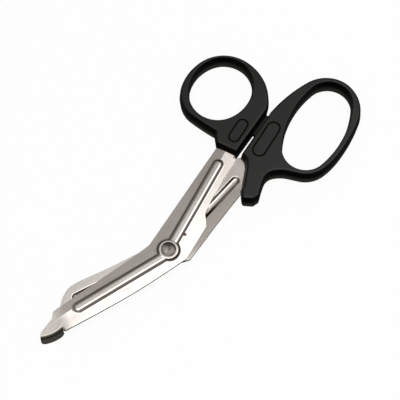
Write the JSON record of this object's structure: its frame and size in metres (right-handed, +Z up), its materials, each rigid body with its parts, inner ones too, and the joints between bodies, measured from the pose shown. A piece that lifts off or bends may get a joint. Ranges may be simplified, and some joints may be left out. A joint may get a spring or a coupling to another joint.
{
  "type": "bandage scissors",
  "caption": "Bandage scissors: angled pressed steel blades on a rivet, a folded foot on the lower jaw, black moulded ring handles.",
  "frame": {"origin": "under the middle of the footprint, on the table the closed shears lie on", "axes": "+X from the jaws to the handles, +Z up and along the pivot, +Y towards the thumb ring"},
  "size_m": [0.185, 0.0795, 0.01],
  "materials": {
    "blade_steel": "satin",
    "rivet_steel": "satin",
    "handle_plastic": "matte"
  },
  "bodies": {
    "finger_half": {"back_blade": "blade_steel", "finger_handle": "handle_plastic", "pivot_rivet": "rivet_steel", "pivot_washer": "rivet_steel"},
    "thumb_half": {"front_blade": "blade_steel", "thumb_handle": "handle_plastic"}
  },
  "joints": [
    {"name": "pivot_hinge", "type": "hinge", "parent": "finger_half", "child": "thumb_half", "pos_m": [-0.0231, -0.0312, 0.005], "axis": [0, 0, 1], "range_deg": [0, 70]}
  ]
}
